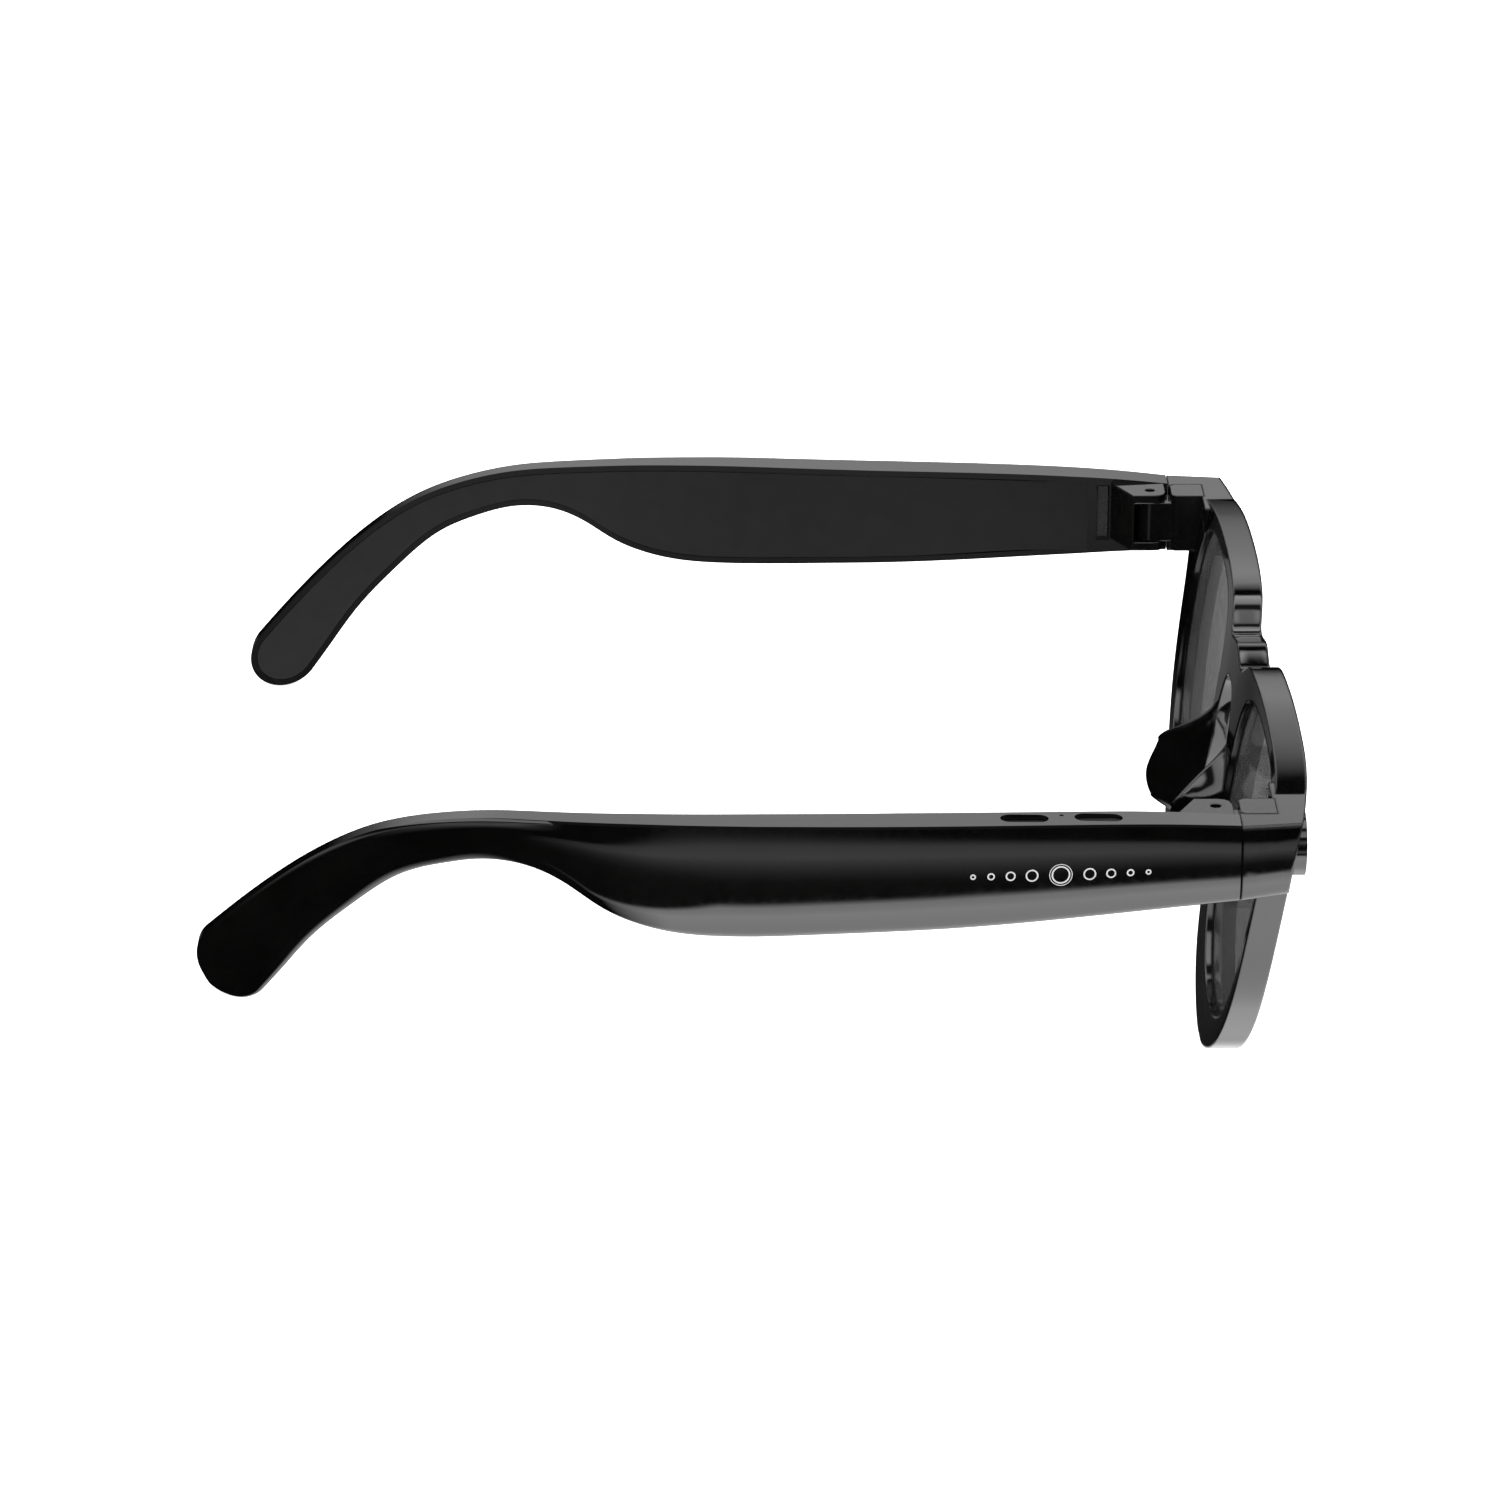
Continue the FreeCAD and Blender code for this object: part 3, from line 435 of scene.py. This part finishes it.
def skin_rings():
    """Sections all along a temple on +X, from the hinge seam to the rounded end."""
    middles = [Vector(((a + c) / 2, (b + d) / 2)) for a, b, c, d in STATIONS]
    knots = [0.0]
    for first, second in zip(middles, middles[1:]):
        knots.append(knots[-1] + (second - first).length)
    start = COVER_FRONT - STATIONS[0][0]
    wanted = sorted(list(np.linspace(0, knots[-1], BODY_STEPS)) + [start - 0.01, start + 0.01])
    rings = []
    for place, row in zip(wanted, fair(knots, STATIONS, wanted)):
        recess = COVER_DEPTH if place > start else 0
        rings.append(section_points((row[0], row[1]), (row[2], row[3]), 1, COVER_BORDER, recess))
    top = Vector((0, STATIONS[-1][0], STATIONS[-1][1]))
    bottom = Vector((0, STATIONS[-1][2], STATIONS[-1][3]))
    middle = (top + bottom) / 2
    half = (top - bottom) / 2
    onward = Vector((0, half.z, -half.y))
    for degrees in [*range(4, 88, 4), 87]:
        angle = math.radians(degrees)
        centre = middle + onward * math.sin(angle)
        high = centre + half * math.cos(angle)
        low = centre - half * math.cos(angle)
        reach = half.length * math.cos(angle)
        room = (half.length - COVER_BORDER) ** 2 - (half.length * math.sin(angle)) ** 2
        border = min(reach - math.sqrt(max(room, 0)), 0.98 * reach)
        recess = COVER_DEPTH if room > 0.05 else 0
        slim = 0.7 + 0.3 * math.sqrt(math.cos(angle))
        rings.append(section_points((high.y, high.z), (low.y, low.z), slim, border, recess))
    return rings


def mesh_object(name, places, faces):
    """A mesh piece from places as worn, in millimetres."""
    mesh = bpy.data.meshes.new(name)
    mesh.from_pydata([WORN @ (Vector(place) * MM) for place in places], [], faces)
    mesh.validate()
    piece = bpy.data.objects.new(name, mesh)
    bpy.context.scene.collection.objects.link(piece)
    bm = bmesh.new()
    bm.from_mesh(mesh)
    bmesh.ops.recalc_face_normals(bm, faces=bm.faces)
    bm.to_mesh(mesh)
    bm.free()
    return piece


def prism(name, outline, low, high):
    """An upright prism over a plan outline."""
    count = len(outline)
    places = [(x, y, z) for z in (low, high) for x, y in outline]
    faces = [tuple(range(count)), tuple(range(count, 2 * count))]
    faces += [(n, (n + 1) % count, count + (n + 1) % count, count + n) for n in range(count)]
    return mesh_object(name, places, faces)


def box_outline(x0, x1, y0, y1):
    """A rectangle in plan."""
    return [(x0, y0), (x1, y0), (x1, y1), (x0, y1)]


def pill_outline(x, y, length, width):
    """A slot shape with round ends, long in y."""
    radius = width / 2
    shift = length / 2 - radius
    places = []
    for sign, start in ((1, 0), (-1, 180)):
        for degrees in range(0, 181, 12):
            angle = math.radians(start + degrees)
            places.append((x + radius * math.cos(angle), y + sign * shift + radius * math.sin(angle)))
    return places


def carve(piece, cutters):
    """Cut shapes out of a piece for good."""
    for cutter in cutters:
        modifier = piece.modifiers.new(cutter.name, "BOOLEAN")
        modifier.object = cutter
        modifier.solver = "EXACT"
    bpy.context.view_layer.update()
    shaped = bpy.data.meshes.new_from_object(piece.evaluated_get(bpy.context.evaluated_depsgraph_get()))
    piece.modifiers.clear()
    piece.data = shaped
    for cutter in cutters:
        bpy.data.objects.remove(cutter)


def temple_cutters(side):
    """One temple's openings: charging slot, cavity and sound slots, and the right one's wells and hole."""
    slot_x = inner_x(-55)
    outline = box_outline(side * (slot_x - 2), side * (slot_x + SLOT_DEPTH), *SLOT_Y)
    cutters = [prism("cut_slot", outline, *SLOT_Z)]
    along = np.linspace(*CAVITY_Y, 13)
    plan = [(side * (inner_x(y) + CAVITY_INNER), y) for y in along]
    plan += [(side * (outer_x(y) - OUTER_WALL), y) for y in along[::-1]]
    cutters.append(prism("cut_cavity", plan, *CAVITY_Z))
    for number in range(SOUND_SLOTS):
        y = SOUND_FIRST + SOUND_STEP * number
        outline = box_outline(side * SOUND_X[0], side * SOUND_X[1], y, y + SOUND_WIDTH)
        cutters.append(prism("cut_sound", outline, *SOUND_Z))
    if side < 0:
        length = BUTTON_LENGTH + 2 * BUTTON_PLAY
        width = BUTTON_WIDTH + 2 * BUTTON_PLAY
        for x, y in BUTTON_PLACES:
            outline = pill_outline(side * x, y, length, width)
            cutters.append(prism("cut_well", outline, *WELL_Z))
        outline = pill_outline(side * MIC_PLACE[0], MIC_PLACE[1], MIC_WIDTH, MIC_WIDTH)
        cutters.append(prism("cut_mic", outline, *MIC_Z))
    return cutters


def temple_skin(side):
    """A temple's shell with a fair outer face, its openings, and the recess that the cover lies in."""
    name = "right" if side < 0 else "left"
    rings = skin_rings()
    count = len(rings[0])
    places = [(side * place.x, place.y, place.z) for ring in rings for place in ring]
    faces = []
    for number in range(len(rings) - 1):
        for column in range(count):
            after = (column + 1) % count
            first = number * count
            second = first + count
            faces.append((first + column, first + after, second + after, second + column))
    faces.append(tuple(range(count)))
    faces.append(tuple(range((len(rings) - 1) * count, len(rings) * count)))
    skin = mesh_object("temple_skin_" + name, places, faces)
    carve(skin, temple_cutters(side))
    finish_piece(skin, name + "_temple", "shell_plastic", "temple_shell_" + name)


def finish_piece(piece, body, slot, *nodes):
    """Shade a piece smooth between its sharp edges, paint it and let it ride on its body."""
    piece.data.shade_smooth()
    piece.data.set_sharp_from_angle(angle=SHARP_ANGLE)
    piece.data.materials.clear()
    piece.data.materials.append(FINISHES[slot])
    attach(piece, body)
    if nodes:
        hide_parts(*nodes)


def touch_rings():
    """The row of rings on the right temple's outer face: a double ring with four rings each side."""
    middle_y, middle_z = MARK_MIDDLE
    rings = [(0, 1.55, MARK_LINE / 2), (0, 1.25, MARK_LINE)]
    for distance, radius in MARK_STEPS:
        rings += [(distance, radius, MARK_LINE), (-distance, radius, MARK_LINE)]
    places, faces = [], []
    for distance, radius, width in rings:
        base = len(places)
        for step in range(MARK_SIDES):
            angle = 2 * math.pi * step / MARK_SIDES
            for reach in (radius, radius - width):
                y = middle_y + distance + reach * math.cos(angle)
                z = middle_z + reach * math.sin(angle)
                for lift in (MARK_PROUD, -MARK_SUNK):
                    places.append((-(outer_x(y) + BULGE + lift), y, z))
        for step in range(MARK_SIDES):
            here = base + 4 * step
            there = base + 4 * ((step + 1) % MARK_SIDES)
            for first, second in ((0, 1), (1, 3), (3, 2), (2, 0)):
                faces.append((here + first, here + second, there + second, there + first))
    finish_piece(mesh_object("touch_rings", places, faces), "right_temple", "mark_grey", "touch_marks")


def dress_frame():
    """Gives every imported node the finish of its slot."""
    slots = {part["node"]: part["material_slot"] for part in frame["record"]["subparts"]}
    for name, node in frame["nodes"].items():
        node.data.materials.clear()
        node.data.materials.append(FINISHES[slots[name]])


add_camera()
add_floor()
add_sky()
bpy.context.scene.view_settings.view_transform = "Standard"
dress_frame()
for hand in (-1, 1):
    temple_skin(hand)
touch_rings()
